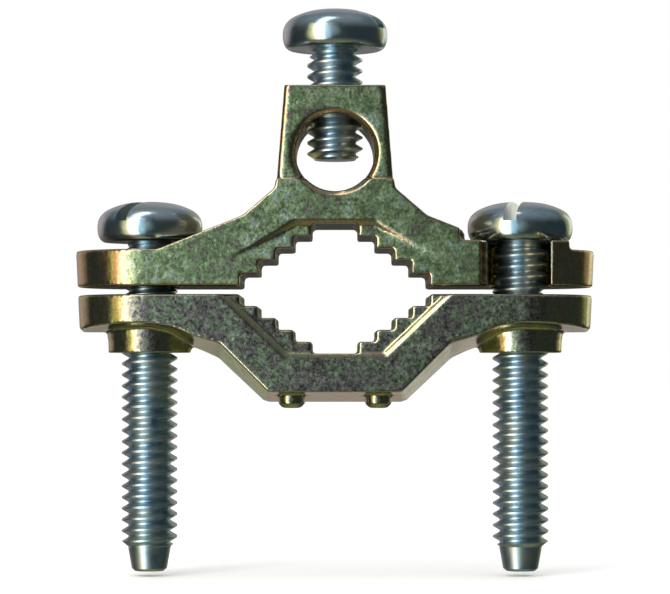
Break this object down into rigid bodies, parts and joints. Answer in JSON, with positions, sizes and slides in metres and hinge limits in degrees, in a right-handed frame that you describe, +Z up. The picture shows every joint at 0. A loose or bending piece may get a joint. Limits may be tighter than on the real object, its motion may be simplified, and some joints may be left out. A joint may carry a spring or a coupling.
{
  "type": "ground clamp",
  "caption": "Cast two-jaw pipe ground clamp with stepped V seat, two slotted clamp screws, one swing-open slotted ear and a lug with a screw for the bare ground wire.",
  "frame": {"origin": "centre of the pipe seat: midway between the two clamp screws, mid-depth, and midway between the two jaws", "axes": "+Y along the clamped pipe and the wire, towards the closed back; +Z up towards the wire lug; +X towards the open-slot ear"},
  "size_m": [0.0592, 0.0164, 0.0642],
  "materials": {
    "cast_jaw": "die-cast zinc with an olive and yellow chromate, semi-gloss",
    "zinc_screw": "bright zinc-plated steel"
  },
  "bodies": {
    "lower_jaw": {"lower_jaw": "cast_jaw"},
    "left_screw": {"left_clamp_screw": "zinc_screw"},
    "upper_jaw": {"upper_jaw": "cast_jaw"},
    "right_screw": {"right_clamp_screw": "zinc_screw"},
    "wire_screw": {"wire_screw": "zinc_screw"}
  },
  "joints": [
    {"name": "left_screw_travel", "type": "slide", "parent": "lower_jaw", "child": "left_screw", "axis": [0, 0, 1], "range_m": [-0.0007, 0.022]},
    {"name": "upper_jaw_swing", "type": "hinge", "parent": "left_screw", "child": "upper_jaw", "pos_m": [-0.0212, 0, 0.0046], "axis": [0, 0, 1], "range_deg": [0, 340]},
    {"name": "right_screw_travel", "type": "slide", "parent": "lower_jaw", "child": "right_screw", "axis": [0, 0, 1], "range_m": [-0.0007, 0.022]},
    {"name": "wire_screw_travel", "type": "slide", "parent": "upper_jaw", "child": "wire_screw", "axis": [0, 0, 1], "range_m": [-0.0033, 0.0048]}
  ],
  "couplings": [
    {"joint": "right_screw_travel", "follows": "left_screw_travel", "ratio": 1}
  ]
}
